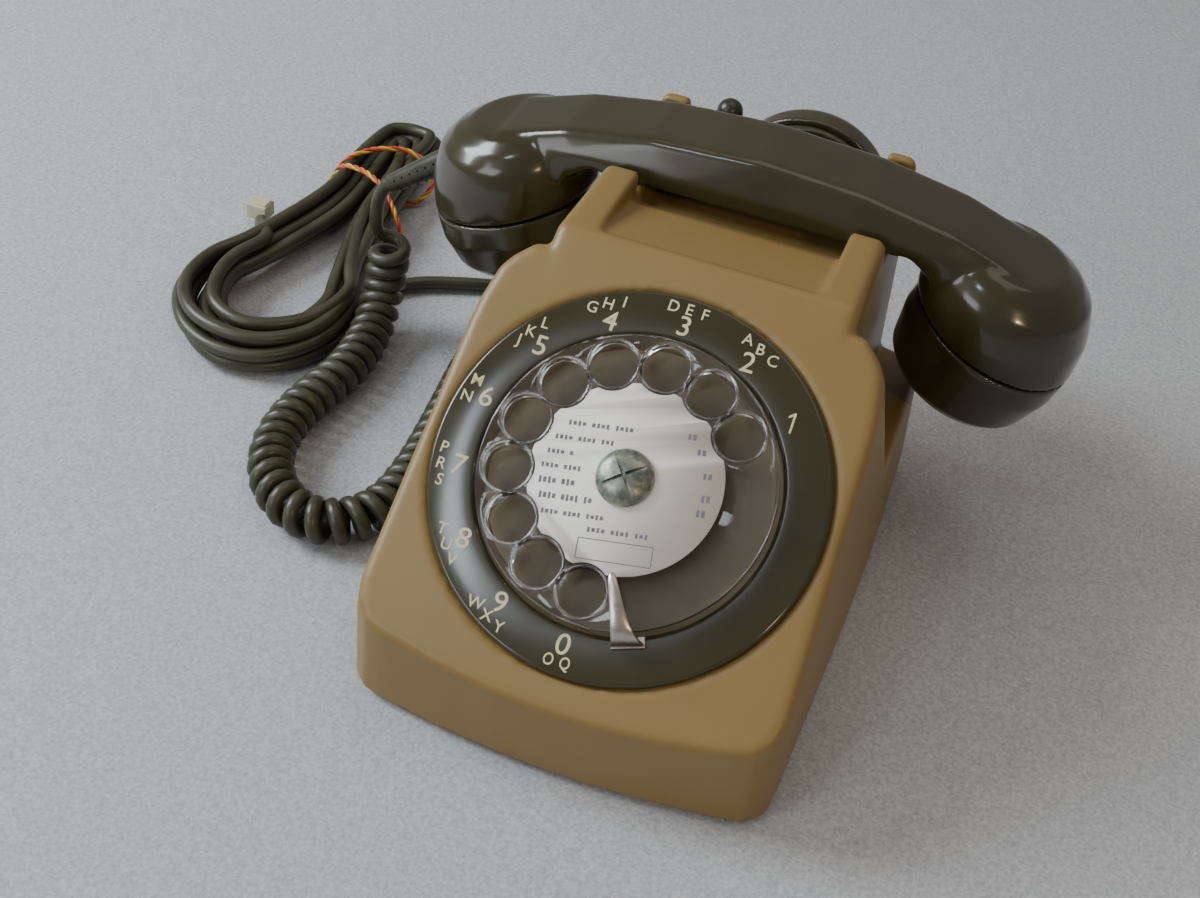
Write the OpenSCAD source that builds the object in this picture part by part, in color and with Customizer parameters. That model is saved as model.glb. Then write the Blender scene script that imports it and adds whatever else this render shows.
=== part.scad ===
// Desk telephone with a rotary dial, a wedge-shaped case and a handset lying across its cradle.
// Frame: +X to the right, -Y towards the caller, +Z up; origin at the bottom centre. Millimetres.

/* [Case] */
// Full width of the sloping face
face_w = 126; // [124:1:128]
// Slope of the face from the horizontal, in degrees
face_slope = 36; // [34:1:38]
// Wall thickness of the moulded case
wall = 2.6; // [2:0.1:3]
// Radius of the case's outer edges
edge_r = 3.4; // [3.2:0.1:3.6]
// Height of the horn tops
horn_z = 107; // [105:1:109]
// Half the width across the cradle horns
horn_x = 46; // [45:0.5:47]
// Height of the two saddles that carry the handset
saddle_z = 98; // [97:0.5:98.4]

/* [Dial] */
// Outer diameter of the number ring
ring_d = 113.4; // [110:0.2:114]
// Diameter of the clear finger wheel
wheel_d = 84; // [80:1:85]
// Diameter of one finger hole
finger_d = 13.6; // [13:0.1:14]
// Diameter of the circle through the finger hole centres
finger_pcd = 66.6; // [65:0.1:67]
// Diameter of the paper card
card_d = 54.6; // [52:0.2:55]
// Angle of the first finger hole, in degrees
first_hole = 38.8; // [36:0.2:40]
// Angle between two finger holes, in degrees
hole_pitch = 25.5; // [25:0.5:26]
// Angle of the finger stop, in degrees
stop_angle = -70; // [-72:1:-66]

/* [Handset] */
// Distance from the middle of the handset to the axis of each cup
cup_x = 82; // [80:0.5:83]
// Outer radius of the cups
cup_r = 28.2; // [27:0.2:29]
// Height of the grip's top above the saddles
grip_t = 16; // [15:1:18]
// Half the width of the grip
grip_w = 19; // [17:0.5:19.5]

/* [Cords] */
// Diameter of the handset cord
curl_d = 4.8; // [4.2:0.1:5]
// Outer diameter of the curly cord's coil
coil_d = 16; // [14:0.5:17]
// Diameter of the line cord
line_d = 5; // [4.6:0.1:5.4]

/* [Hidden] */
$fn = 48;
dial_y = -59.3;
dial_z = 67.1;
cradle_y = 58;
t36 = tan(face_slope);
c36 = cos(face_slope);
fw = face_w / 2;
ring_r = ring_d / 2;
wheel_r = wheel_d / 2;
finger_r = finger_d / 2;
pcr = finger_pcd / 2;
hole_angles = [for (i = [0:9]) first_hole + i * hole_pitch];
olive = [0.20, 0.19, 0.11];
tan_abs = [0.60, 0.50, 0.34];
steel = [0.62, 0.62, 0.60];
brass = [0.78, 0.62, 0.30];
cord_col = [0.22, 0.23, 0.17];

// Height of the face plane above the table at a given y
function face_z(y) = dial_z + (y - dial_y) * t36;
// Height of the centre of an edge ball that lies just under the face
function under_face(y) = face_z(y) - edge_r / c36;
// Bow of the front, as seen from above
function bow(x) = 4.5 * pow(x / 50, 2);

// Places its children on the face: local X to the right, local Y up the slope, local Z outwards
module on_face() {
  translate([0, dial_y, dial_z]) rotate([face_slope, 0, 0]) children();
}

module both_sides() {
  children();
  mirror([1, 0, 0]) children();
}

module box(x0, x1, y0, y1, z0, z1) {
  translate([x0, y0, z0]) cube([x1 - x0, y1 - y0, z1 - z0]);
}

// Rounded plate lying flat
module round_plate(x, y, h, r) {
  linear_extrude(h) offset(r = r) square([x - 2 * r, y - 2 * r], center = true);
}

// Rod from one point to another
module rod(a, b, r) {
  d = b - a;
  l = norm(d);
  translate(a) rotate([0, acos(d[2] / l), atan2(d[1], d[0])]) cylinder(r = r, h = l);
}

// ---------------------------------------------------------------- case
// Balls along the edges of the wedge; r is edge_r for the outside and edge_r - wall for the inside
module ball(p, r) {
  translate(p) sphere(r = r, $fn = r > 2 ? 20 : 8);
}

module wedge(r) {
  hull() {
    for (sx = [-1, 1]) {
      for (x = [0, 16, 32, 44]) {
        ball([sx * x, -107.8 + bow(x), -6], r);
        ball([sx * x, -109.4 + bow(x), under_face(-109.4 + bow(x))], r);
      }
      for (a = [0:30:90]) {
        ball([sx * (51.8 + 9 * sin(a)), -94.2 - 9 * cos(a), -6], r);
        ball([sx * (fw - edge_r - 9 + 9 * sin(a)), -96 - 9 * cos(a), under_face(-96 - 9 * cos(a))], r);
      }
      for (p = [[5.6, 36], [6.2, 42.4], [8.1, 51.9], [10.4, 55.6], [14.6, 60]])
        ball([sx * (fw - p[0]), dial_y + p[1] * c36, under_face(dial_y + p[1] * c36)], r);
      ball([sx * 63.6, 8, -6], r);
      ball([sx * 60.5, 10, 38], r);
    }
  }
}

module rear_tier(r) {
  hull()
    for (sx = [-1, 1]) {
      ball([sx * 60.5, 10, 38], r);
      ball([sx * 63.6, 8, -6], r);
      for (a = [0:30:90]) {
        ball([sx * (52 + 10 * cos(a)), 64 + 10 * sin(a), -6], r);
        ball([sx * (49.5 + 10 * cos(a)), 62 + 10 * sin(a), 38], r);
      }
    }
}

module neck(r) {
  hull()
    for (sx = [-1, 1]) {
      ball([sx * (horn_x - edge_r), -4, horn_z - edge_r], r);
      ball([sx * (horn_x - edge_r), -16, under_face(-16)], r);
      ball([sx * (horn_x - edge_r - 2.6), 84.3, horn_z - edge_r], r);
      ball([sx * horn_x, -30, -6], r);
      ball([sx * horn_x, 73, -6], r);
    }
}

// Everything above the cradle's surfaces: the trough for the grip and the ramp between the front horns
module cradle_cut(d) {
  box(-70, 70, 34, 82, saddle_z - d, 140);
  rotate([90, 0, 90]) translate([0, 0, -33.5 - d]) linear_extrude(67 + 2 * d)
    polygon([[-2.5, 105.6 - d], [25, 101 - d], [40, 92 - d], [98, 92 - d], [98, 150], [-2.5, 150]]);
}

module whole_case() {
  difference() {
    union() {
      difference() {
        union() {
          wedge(edge_r);
          rear_tier(edge_r);
          neck(edge_r);
        }
        cradle_cut(0);
        difference() {
          union() {
            wedge(edge_r - wall);
            rear_tier(edge_r - wall);
            neck(edge_r - wall);
          }
          // keeps a wall under the cradle's own surfaces
          cradle_cut(wall);
        }
      }
      // posts for the four case screws
      both_sides() {
        box(50, 57, -84, -77, 6.2, 47);
        box(51, 58, 46, 53, 6.2, 40);
      }
      // seat that the dial body is screwed to
      on_face() translate([0, 0, -4.4]) cylinder(r = ring_r + 0.8, h = 2.4, $fn = 96);
    }
    box(-90, 90, -130, 110, -20, 1.6);
    // gap for the base tray, open at the sides and rear
    box(-90, 90, -96, 110, -20, 6);
    // recess for the number ring and the opening behind it
    on_face() {
      translate([0, 0, -1.7]) cylinder(r = ring_r + 0.5, h = 20, $fn = 96);
      translate([0, 0, -20]) cylinder(r = 50, h = 30, $fn = 96);
      for (a = [30, 150, 270]) rotate([0, 0, a]) translate([52.2, 0, -5]) cylinder(r = 1.4, h = 5);
    }
    // plunger holes in the saddles
    both_sides() translate([38.4, cradle_y, 80]) cylinder(r = 3.3, h = 30);
    // pilot holes in the posts
    both_sides() {
      translate([53.5, -80.5, 0]) cylinder(r = 1.4, h = 30);
      translate([54.5, 49.5, 0]) cylinder(r = 1.4, h = 30);
    }
    // cord outlets in the rear wall
    for (x = [-42, -14]) translate([x, 90, 13]) rotate([90, 0, 0]) cylinder(r = 5, h = 30);
    // screw hole for the hanger of the second earpiece
    translate([8, 100, 86]) rotate([90, 0, 0]) cylinder(r = 1.6, h = 30);
  }
}

// The case is one moulding; it is drawn as a lower and an upper part that meet at this height
top_from = 88;
module case_shell() {
  color(tan_abs) difference() {
    whole_case();
    box(-90, 90, -130, 130, top_from, 140);
  }
}

module case_top() {
  color(tan_abs) intersection() {
    whole_case();
    box(-90, 90, -130, 130, top_from, 140);
  }
}

module base_tray() {
  color([0.52, 0.43, 0.29]) difference() {
    hull() both_sides() {
      translate([54, -86, 2]) cylinder(r = 8, h = 3.4);
      translate([58, 4, 2]) cylinder(r = 7, h = 3.4);
      translate([53, 66, 2]) cylinder(r = 9, h = 3.4);
    }
    hull() both_sides() {
      translate([54, -86, 3.8]) cylinder(r = 6, h = 3);
      translate([58, 4, 3.8]) cylinder(r = 5, h = 3);
      translate([53, 66, 3.8]) cylinder(r = 7, h = 3);
    }
    // slots that let the bell be heard
    for (i = [-4:4]) translate([i * 7, 40, 0]) box(-1.5, 1.5, -14, 14, 0, 6);
    both_sides() {
      translate([53.5, -80.5, 0]) cylinder(r = 1.9, h = 10);
      translate([54.5, 49.5, 0]) cylinder(r = 1.9, h = 10);
    }
  }
}

module case_screw(x, y) {
  translate([x, y, 1.2]) cylinder(r = 3.2, h = 0.75);
  translate([x, y, 1.2]) cylinder(r = 1.4, h = 14);
}

module case_screws() {
  color(steel) both_sides() {
    case_screw(53.5, -80.5);
    case_screw(54.5, 49.5);
  }
}

module rubber_feet() {
  color([0.1, 0.1, 0.1]) both_sides() {
    translate([44, -84, 0]) cylinder(r = 6, h = 1.95);
    translate([44, 60, 0]) cylinder(r = 6, h = 1.95);
  }
}

// ---------------------------------------------------------------- dial
module number_ring() {
  color(olive) on_face() rotate_extrude($fn = 96)
    polygon([[12, -2.2], [40, -2.2], [43, 0.2], [44, 1.4], [ring_r - 1, 1.4], [ring_r, 0.4],
             [ring_r, -1.6], [48, -1.6], [46, -3.6], [12, -3.6]]);
}

module ring_pin(r, a) {
  rotate([0, 0, a]) translate([r, 0, 0]) children();
}

// Flat strip folded over the wheel, tapering to its tip and leaning a little to the left
module finger_stop() {
  color(steel) on_face() rotate([0, 0, stop_angle]) {
    translate([42.8, -4.6, 1.45]) cube([3.2, 9.2, 1.2]);
    translate([44.4, 0, 0]) rotate([0, 0, 10]) difference() {
      rotate([90, 0, 0]) translate([0, 0, -4]) linear_extrude(8)
        polygon([[0.8, 1.45], [0.8, 7], [-1, 9.4], [-17, 10.4], [-18.4, 9.6], [-18.4, 8.8], [-17, 8.9],
                 [-1.8, 8.3], [-0.7, 6.6], [-0.7, 1.45]]);
      for (m = [0, 1]) mirror([0, m, 0])
        translate([0, 0, -1]) linear_extrude(20) polygon([[4, 4.2], [-3, 4.2], [-8, 2], [-20, 0.9], [-20, 9], [4, 9]]);
    }
  }
}

module finger_wheel() {
  color([0.75, 0.73, 0.78, 0.5]) on_face() difference() {
    union() {
      translate([0, 0, 2.6]) cylinder(r = wheel_r - 0.6, h = 3, $fn = 96);
      translate([0, 0, 1.9]) cylinder(r = wheel_r, h = 2.4, $fn = 96);
      for (a = hole_angles) ring_pin(pcr, a) translate([0, 0, 0.2]) cylinder(r = finger_r + 0.9, h = 6.2);
      translate([0, 0, 0.2]) cylinder(r = 8.5, h = 5.2);
    }
    for (a = hole_angles) ring_pin(pcr, a) translate([0, 0, -1]) cylinder(r = finger_r, h = 10);
    translate([0, 0, -1]) cylinder(r = 3.05, h = 10);
  }
}

module card() {
  color([0.95, 0.94, 0.90]) on_face() difference() {
    translate([0, 0, 5.7]) cylinder(r = card_d / 2, h = 0.4, $fn = 96);
    for (a = hole_angles) ring_pin(pcr, a) cylinder(r = finger_r + 1.3, h = 10);
    cylinder(r = 3.2, h = 10);
  }
}

// Domed head with a cross slot, its shank screwed into the dial shaft
module centre_screw() {
  color([0.55, 0.57, 0.52]) on_face() difference() {
    union() {
      intersection() {
        translate([0, 0, 0.6]) sphere(r = 9.6);
        translate([0, 0, 6.2]) cylinder(r = 7.8, h = 6);
      }
      translate([0, 0, 0]) cylinder(r = 1.4, h = 7);
    }
    rotate([0, 0, 32]) translate([-6, -0.5, 8.6]) cube([12, 1, 4]);
    rotate([0, 0, -58]) translate([-6, -0.5, 8.6]) cube([12, 1, 4]);
  }
}

// Moulded cup behind the ring, closed by a floor that carries the bearing
module dial_body() {
  color([0.25, 0.22, 0.16]) on_face() difference() {
    union() {
      translate([0, 0, -25]) cylinder(r = 46, h = 21.2, $fn = 96);
      for (a = [30, 150, 270]) rotate([0, 0, a]) translate([46, 0, -8]) cylinder(r = 9.4, h = 3.4);
    }
    translate([0, 0, -22.6]) cylinder(r = 43.6, h = 20, $fn = 96);
    translate([0, 0, -30]) cylinder(r = 4.05, h = 20);
    for (a = [30, 150, 270]) rotate([0, 0, a]) translate([52.2, 0, -20]) cylinder(r = 1.4, h = 20);
    // window for the governor
    rotate([0, 0, 200]) translate([30, -6, -30]) cube([10, 12, 12]);
  }
}

module dial_screws() {
  color(steel) on_face() for (a = [30, 150, 270]) rotate([0, 0, a]) translate([52.2, 0, 0]) {
    translate([0, 0, -9]) cylinder(r = 1.35, h = 6.8);
    translate([0, 0, -10.2]) cylinder(r = 2.6, h = 2.1);
  }
}

module dial_shaft() {
  color(steel) on_face() difference() {
    union() {
      translate([0, 0, -33]) cylinder(r = 4, h = 33);
      cylinder(r = 3.05, h = 5.2);
    }
    translate([0, 0, -1]) cylinder(r = 1.4, h = 10);
  }
}

// Spur gear with straight-sided teeth
module spur(n, r_root, r_tip, h, bore) {
  linear_extrude(h) difference() {
    polygon([for (i = [0:n - 1]) for (k = [0:3])
      let (r = (k == 0 || k == 3) ? r_root : r_tip, a = (i + [0, 0.2, 0.5, 0.7][k]) * 360 / n)
      r * [cos(a), sin(a)]]);
    circle(r = bore, $fn = 48);
  }
}

module main_gear() {
  color(brass) on_face() translate([0, 0, -12]) difference() {
    spur(60, 22.4, 23.6, 1.6, 4);
    for (a = [0:60:300]) rotate([0, 0, a]) translate([14, 0, -1]) cylinder(r = 4.5, h = 5);
  }
}

module idler_pinion() {
  color(brass) on_face() translate([-28.4, -4, -13.4]) spur(12, 3.2, 4.0, 4, 1.5);
}

module worm_wheel() {
  color(brass) on_face() translate([-28.4, -4, -18]) spur(36, 8.2, 9.0, 1.6, 1.5);
}

module idler_arbor() {
  color(steel) on_face() translate([-28.4, -4, -22.5]) cylinder(r = 1.5, h = 16);
}

module governor() {
  color(brass) on_face() translate([-28.4, 8.6, -17.2]) rotate([0, 90, 0]) {
    translate([0, 0, -10.4]) cylinder(r = 1, h = 24.8);
    translate([0, 0, -5]) cylinder(r = 3, h = 10);
    translate([0, 0, 7]) cylinder(r = 3.4, h = 4);
  }
}

// Cup that the governor's weights rub on, cut into a bracket
module governor_bracket() {
  color(steel) on_face() difference() {
    union() {
      translate([-15.4, 2, -22.5]) cube([1.2, 13.2, 8.4]);
      translate([-39.4, 5.4, -22.5]) cube([1.6, 6.4, 8]);
      translate([-39.4, 14, -22.5]) cube([25.2, 2, 1.6]);
      translate([-39.4, 11.4, -22.5]) cube([1.6, 4.6, 1.6]);
    }
    translate([-45, 8.6, -17.2]) rotate([0, 90, 0]) cylinder(r = 1.06, h = 50);
  }
}

module mainspring() {
  color([0.35, 0.38, 0.42]) on_face() difference() {
    translate([0, 0, -21.6]) cylinder(r = 13, h = 7);
    translate([0, 0, -22]) cylinder(r = 4.4, h = 8);
    for (r = [6, 8, 10]) translate([0, 0, -20.6]) difference() {
      cylinder(r = r + 0.8, h = 9);
      translate([0, 0, -1]) cylinder(r = r, h = 11);
    }
  }
}

module pulse_cam() {
  color([0.85, 0.82, 0.72]) on_face() translate([0, 0, -29]) linear_extrude(2.4) difference() {
    union() {
      circle(r = 9);
      for (a = [0, 120, 240]) rotate(a) translate([8.5, 0]) circle(r = 2.2);
    }
    circle(r = 4);
  }
}

// Stack of leaf springs that the cam opens
module pulse_contacts() {
  color(steel) on_face() translate([13, -14, -32]) {
    cube([9, 8, 7]);
    for (i = [0:2]) translate([1.5 + i * 2.4, 8, 3.4]) cube([0.5, 16, 3]);
  }
}

// ---------------------------------------------------------------- cradle switch
module plunger(sx) {
  color([0.12, 0.12, 0.12]) translate([sx * 38.4, cradle_y, 0]) {
    translate([0, 0, 80.4]) cylinder(r = 3, h = saddle_z - 80.4);
    translate([0, 0, 82]) cylinder(r = 3.9, h = 1.6);
  }
}

module left_plunger() {
  plunger(-1);
}

module right_plunger() {
  plunger(1);
}

// Rocking bar under both plungers, pivoted behind them
module hook_bar() {
  color(steel) {
    both_sides() box(35.5, 40.4, 54, 71.4, 78.4, 80);
    box(-29, 29, 60, 71.4, 78.4, 80);
    translate([-40.4, 70, 77]) rotate([0, 90, 0]) cylinder(r = 1.6, h = 80.8);
    box(-3, 3, 60, 68, 77.2, 78.5);
  }
}

module hook_bracket() {
  color(steel) difference() {
    union() {
      both_sides() box(31.4, 32.8, 64, 76, 71, 81);
      box(-32.8, 32.8, 60, 76, 71, 72.2);
      box(-20, 20, 74.8, 76, 71, 76);
    }
    translate([-60, 70, 77]) rotate([0, 90, 0]) cylinder(r = 1.66, h = 120);
  }
}

module hook_contacts() {
  color([0.80, 0.72, 0.45]) {
    box(-6, 6, 50, 58, 62, 76.5);
    for (i = [0:3]) box(-5 + i * 2.8, -3.4 + i * 2.8, 58, 72, 66.5, 67.1);
    box(-6, 6, 50, 52, 58, 63);
  }
}

module hook_spring() {
  color(steel) translate([12, 63.6, 72.3]) difference() {
    cylinder(r = 2.6, h = 5.9);
    translate([0, 0, -1]) cylinder(r = 1.9, h = 9);
  }
}

// ---------------------------------------------------------------- bell
module ringer_frame() {
  color(steel) {
    box(-46, 46, 14, 62, 4, 5.4);
    box(-11, 11, 14, 15.6, 5.3, 30);
    both_sides() translate([26, 42, 5.3]) cylinder(r = 3, h = 12);
  }
}

module gong(sx) {
  color([0.72, 0.70, 0.62]) translate([sx * 26, 42, 0]) difference() {
    translate([0, 0, 3]) sphere(r = 27);
    translate([0, 0, 3]) sphere(r = 25.4);
    translate([-40, -40, -40]) cube([80, 80, 52.6]);
    translate([0, 0, 20]) cylinder(r = 2.1, h = 20);
    translate([0, 0, 10]) difference() {
      cylinder(r = 40, h = 30);
      translate([0, 0, -1]) cylinder(r = 21.6, h = 32);
    }
  }
}

module left_gong() {
  gong(-1);
}

module right_gong() {
  gong(1);
}

module gong_screws() {
  color(steel) both_sides() translate([26, 42, 0]) {
    translate([0, 0, 17.3]) cylinder(r = 2, h = 14);
    translate([0, 0, 30]) cylinder(r = 4, h = 2.4);
    translate([0, 0, 17.3]) cylinder(r = 4, h = 10.5);
  }
}

module ringer_coils() {
  color([0.60, 0.30, 0.15]) both_sides() translate([6.2, 15.6, 14]) rotate([90, 0, 180]) cylinder(r = 5.4, h = 10.4);
}

module ringer_magnet() {
  color([0.3, 0.3, 0.32]) box(-12, 12, 9.8, 13.9, 8, 26);
}

module clapper() {
  color(brass) {
    translate([0, 24, 23.5]) cylinder(r = 2, h = 8);
    box(-8, 8, 22.6, 25.4, 21.6, 23.6);
    box(-0.8, 0.8, 25, 39, 26, 27.6);
    translate([0, 41, 27]) sphere(r = 2.6);
  }
}

module clapper_bracket() {
  color(steel) difference() {
    union() {
      box(-11, 11, 14.1, 28, 32, 33.6);
      box(-11, 11, 14.1, 15.6, 30, 33.6);
    }
    translate([0, 24, 20]) cylinder(r = 2.06, h = 20);
  }
}

// ---------------------------------------------------------------- circuit
module circuit_board() {
  color([0.62, 0.48, 0.25]) box(-46, 46, -62, -6, 9, 10.6);
}

module board_spacers() {
  color(steel) both_sides() {
    translate([42, -12, 3.8]) cylinder(r = 2.4, h = 5.2);
    translate([42, -56, 3.8]) cylinder(r = 2.4, h = 5.2);
  }
}

module speech_transformer() {
  color([0.35, 0.30, 0.28]) box(-40, -14, -26, -8, 10.6, 29);
}

module bell_capacitor() {
  color([0.75, 0.70, 0.35]) translate([2, -16, 18.1]) rotate([0, 90, 0]) cylinder(r = 7.5, h = 32);
}

module terminal_strip() {
  color([0.9, 0.88, 0.8]) difference() {
    box(-30, 30, -38, -30, 10.6, 17);
    for (i = [-4:4]) translate([i * 6.4, -34, 12]) cylinder(r = 1.6, h = 10);
  }
}

// ---------------------------------------------------------------- handset
// Ring-shaped slice of a cup, lying level across the handset and leaning outwards by an angle
module cup_slice(sx, x, z, r, lean) {
  translate([sx * x, cradle_y, z]) rotate([0, sx * lean, 0]) cylinder(r = r, h = 0.4, $fn = 40);
}

// Body of one cup, a barrel that closes in a dome and leans into the grip
module handset_half(sx) {
  hull() {
    cup_slice(sx, cup_x, 72.5, cup_r, 19);
    cup_slice(sx, cup_x + 0.2, 80, cup_r + 0.2, 10);
    cup_slice(sx, cup_x + 0.2, 85.6, cup_r - 0.6, 10);
    cup_slice(sx, cup_x + 0.7, 91.2, cup_r - 2.4, 10);
    cup_slice(sx, cup_x + 0.1, 96, cup_r - 6, 10);
    cup_slice(sx, cup_x - 1.1, 99.6, cup_r - 10.8, 10);
  }
  // web under the end of the grip
  hull() {
    cup_slice(sx, cup_x - 2, 84, 20, 10);
    cup_slice(sx, cup_x - 3, 94, 17, 14);
    for (w = [-1, 1]) {
      translate([sx * 51, cradle_y + w * (grip_w - 3), saddle_z + 2.6]) sphere(r = 2, $fn = 16);
      translate([sx * 51, cradle_y + w * (grip_w - 6), saddle_z + 9]) sphere(r = 2, $fn = 16);
    }
  }
}

// The grip: a flat top band, sides that lean out to a crease, and a flat underside
module grip() {
  hull()
    for (sx = [-1, 1], w = [-1, 1]) {
      for (p = [[0, 0.4], [34, -1.6], [62, -6.5], [84, -14]])
        translate([sx * p[0], cradle_y + w * (grip_w - 6.5), saddle_z + grip_t + p[1] - 2]) sphere(r = 2, $fn = 16);
      translate([sx * 72, cradle_y + w * (grip_w - 2), 92]) sphere(r = 2, $fn = 16);
      translate([sx * 20, cradle_y + w * (grip_w - 2), 103]) sphere(r = 2, $fn = 16);
      translate([sx * 60, cradle_y + w * (grip_w - 3), saddle_z + 3]) sphere(r = 2, $fn = 16);
    }
}

module cup_axis(sx) {
  translate([sx * cup_x, cradle_y, 72.5]) rotate([0, sx * 19, 0]) children();
}

module whole_handset() {
  difference() {
    union() {
      handset_half(-1);
      handset_half(1);
      difference() {
        grip();
        box(-60, 60, 0, 120, 60, saddle_z + 0.4);
      }
    }
    for (sx = [-1, 1]) cup_axis(sx) translate([0, 0, -1]) cylinder(r = cup_r - 4.6, h = 10);
    // wire channel along the grip
    rod([-60, cradle_y, 103], [60, cradle_y, 103], 3.4);
    both_sides() rod([58, cradle_y, 104], [74, cradle_y, 78], 3.4);
    // outlet for the cord at the left-hand end
    rod(sleeve_a, sleeve_b, 3.9);
  }
}

// The handset is one moulding; its two cups and its grip are drawn as parts that meet near the horns
grip_end = 47;
module handset_body() {
  color(olive) difference() {
    whole_handset();
    box(-grip_end, grip_end, 0, 120, 40, 140);
  }
}

module handset_grip() {
  color(olive) intersection() {
    whole_handset();
    box(-grip_end, grip_end, 0, 120, 40, 140);
  }
}

// Screwed cap with a ring of sound holes; the listening one is a little deeper
module cup_cap(sx, deep) {
  color(olive) cup_axis(sx) difference() {
    union() {
      translate([0, 0, -9]) cylinder(r = cup_r - 0.2, h = 8.7, $fn = 64);
      translate([0, 0, -18.5 - deep]) cylinder(r1 = cup_r - 3, r2 = cup_r - 0.2, h = 9.5 + deep, $fn = 64);
      translate([0, 0, -22.5 - deep]) cylinder(r1 = cup_r - 6.7, r2 = cup_r - 3, h = 4, $fn = 64);
    }
    translate([0, 0, -14]) cylinder(r = cup_r - 4.4, h = 30, $fn = 64);
    translate([0, 0, -19.5 - deep]) cylinder(r = cup_r - 9, h = 20, $fn = 64);
    for (a = [0:45:315]) rotate([0, 0, a]) translate([9, 0, -30]) cylinder(r = 1.5, h = 30);
    translate([0, 0, -30]) cylinder(r = 1.5, h = 30);
  }
}

module mouth_cap() {
  cup_cap(-1, 0);
}

module ear_cap() {
  cup_cap(1, 2.5);
}

module capsule(sx) {
  cup_axis(sx) {
    translate([0, 0, -12]) cylinder(r = cup_r - 5.2, h = 12);
    translate([0, 0, -0.5]) cylinder(r = 14, h = 8);
  }
}

module transmitter_capsule() {
  color([0.7, 0.68, 0.62]) capsule(-1);
}

module receiver_capsule() {
  color([0.62, 0.60, 0.55]) capsule(1);
}

// Sleeve with rows of stitch holes, where the curly cord leaves the handset
sleeve_a = [-103, 58, 79];
sleeve_b = [-128, 58, 60];
module handset_sleeve() {
  color(cord_col) difference() {
    rod(sleeve_a, sleeve_b, 3.8);
    for (i = [1:5]) for (a = [0, 90]) {
      p = sleeve_a + (sleeve_b - sleeve_a) * (0.2 + i * 0.13);
      translate(p) rotate([a, -37, 0]) translate([0, 0, -8]) cylinder(r = 0.6, h = 16, $fn = 16);
    }
  }
}

// ---------------------------------------------------------------- second earpiece
ear2_x = 8;
ear2_z = 78.5;
module on_back() {
  translate([ear2_x, 0, ear2_z]) rotate([-90, 0, 0]) children();
}

module hanger() {
  color([0.12, 0.12, 0.11]) difference() {
    union() {
      box(-24, 16, 87.4, 89, 88, 96);
      box(-24, -19, 87.4, 92, 94, 98);
      translate([-21.5, 91.5, 96]) cylinder(r = 4.4, h = 6.2);
      translate([-21.5, 91.5, 102.2]) sphere(r = 4.4);
      box(0, 16, 87.4, 89, 74, 90);
    }
    translate([8, 100, 86]) rotate([90, 0, 0]) cylinder(r = 1.6, h = 30);
  }
}

// Listening cap, turned to the case while the earpiece hangs
module second_ear_cap() {
  color([0.28, 0.28, 0.24]) on_back() difference() {
    translate([0, 0, 89.4]) cylinder(r = 26, h = 3.3, $fn = 64);
    for (a = [0:60:300]) rotate([0, 0, a]) translate([9, 0, 80]) cylinder(r = 1.4, h = 30);
  }
}

module second_earpiece() {
  color([0.24, 0.24, 0.19]) on_back() difference() {
    union() {
      translate([0, 0, 93]) cylinder(r = 27.5, h = 7.4, $fn = 64);
      translate([0, 0, 100.4]) cylinder(r1 = 27.5, r2 = 26, h = 3.4, $fn = 64);
      translate([0, 0, 103.8]) cylinder(r1 = 26, r2 = 22, h = 4.6, $fn = 64);
      translate([0, 0, 108.4]) cylinder(r1 = 22, r2 = 14, h = 3.2, $fn = 64);
      translate([0, 0, 111.6]) cylinder(r = 14, h = 1.1, $fn = 64);
    }
    translate([0, 0, 92]) cylinder(r = 24.6, h = 9, $fn = 64);
    translate([0, 0, 92]) cylinder(r = 19, h = 14, $fn = 64);
  }
}

module second_capsule() {
  color([0.7, 0.68, 0.62]) on_back() translate([0, 0, 93]) cylinder(r = 18, h = 12);
}

// ---------------------------------------------------------------- cords
// Direction of a route at its point i
function along(p, i) =
  let (d = p[min(i + 1, len(p) - 1)] - p[max(i - 1, 0)]) d / norm(d);
// The part of e that is square to the direction d, as a unit vector
function square_to(e, d) = let (q = e - (e * d) * d) q / norm(q);
// Side directions along a route, turned as little as possible from one point to the next
function side_dirs(p, e0) =
  [for (i = 0, e = square_to(e0, along(p, 0)); i < len(p);
    i = i + 1, e = square_to(e, along(p, min(i, len(p) - 1)))) e];

// Tube swept along a list of points; e0 is any direction that its start does not point in
module tube(p, r, n = 8, e0 = [1, 0, 0]) {
  m = len(p);
  e = side_dirs(p, e0);
  rings = [for (i = [0:m - 1]) for (j = [0:n - 1])
    p[i] + r * (cos(j * 360 / n) * e[i] + sin(j * 360 / n) * cross(along(p, i), e[i]))];
  sides = [for (i = [0:m - 2]) for (j = [0:n - 1])
    [i * n + j, i * n + (j + 1) % n, (i + 1) * n + (j + 1) % n, (i + 1) * n + j]];
  polyhedron(rings, concat([for (q = sides) [q[3], q[2], q[1], q[0]]],
    [[for (j = [0:n - 1]) j]], [[for (j = [n - 1:-1:0]) (m - 1) * n + j]]));
}

// Point on a smooth curve through four points
function spline(a, b, c, d, t) =
  0.5 * ((2 * b) + (c - a) * t + (2 * a - 5 * b + 4 * c - d) * t * t + (3 * b - a - 3 * c + d) * t * t * t);
function smooth(p, k) =
  let (m = len(p)) concat([for (i = [0:m - 2]) for (j = [0:k - 1])
    spline(p[max(i - 1, 0)], p[i], p[i + 1], p[min(i + 2, m - 1)], j / k)], [p[m - 1]]);

// Plain start of the handset cord, from the sleeve to the first turn
curl_lead = [[-128.4, 58, 59.7], [-130.4, 58, 58.2], [-133.2, 58, 52], [-134, 58, 45], [-134, 58, 37]];
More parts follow.
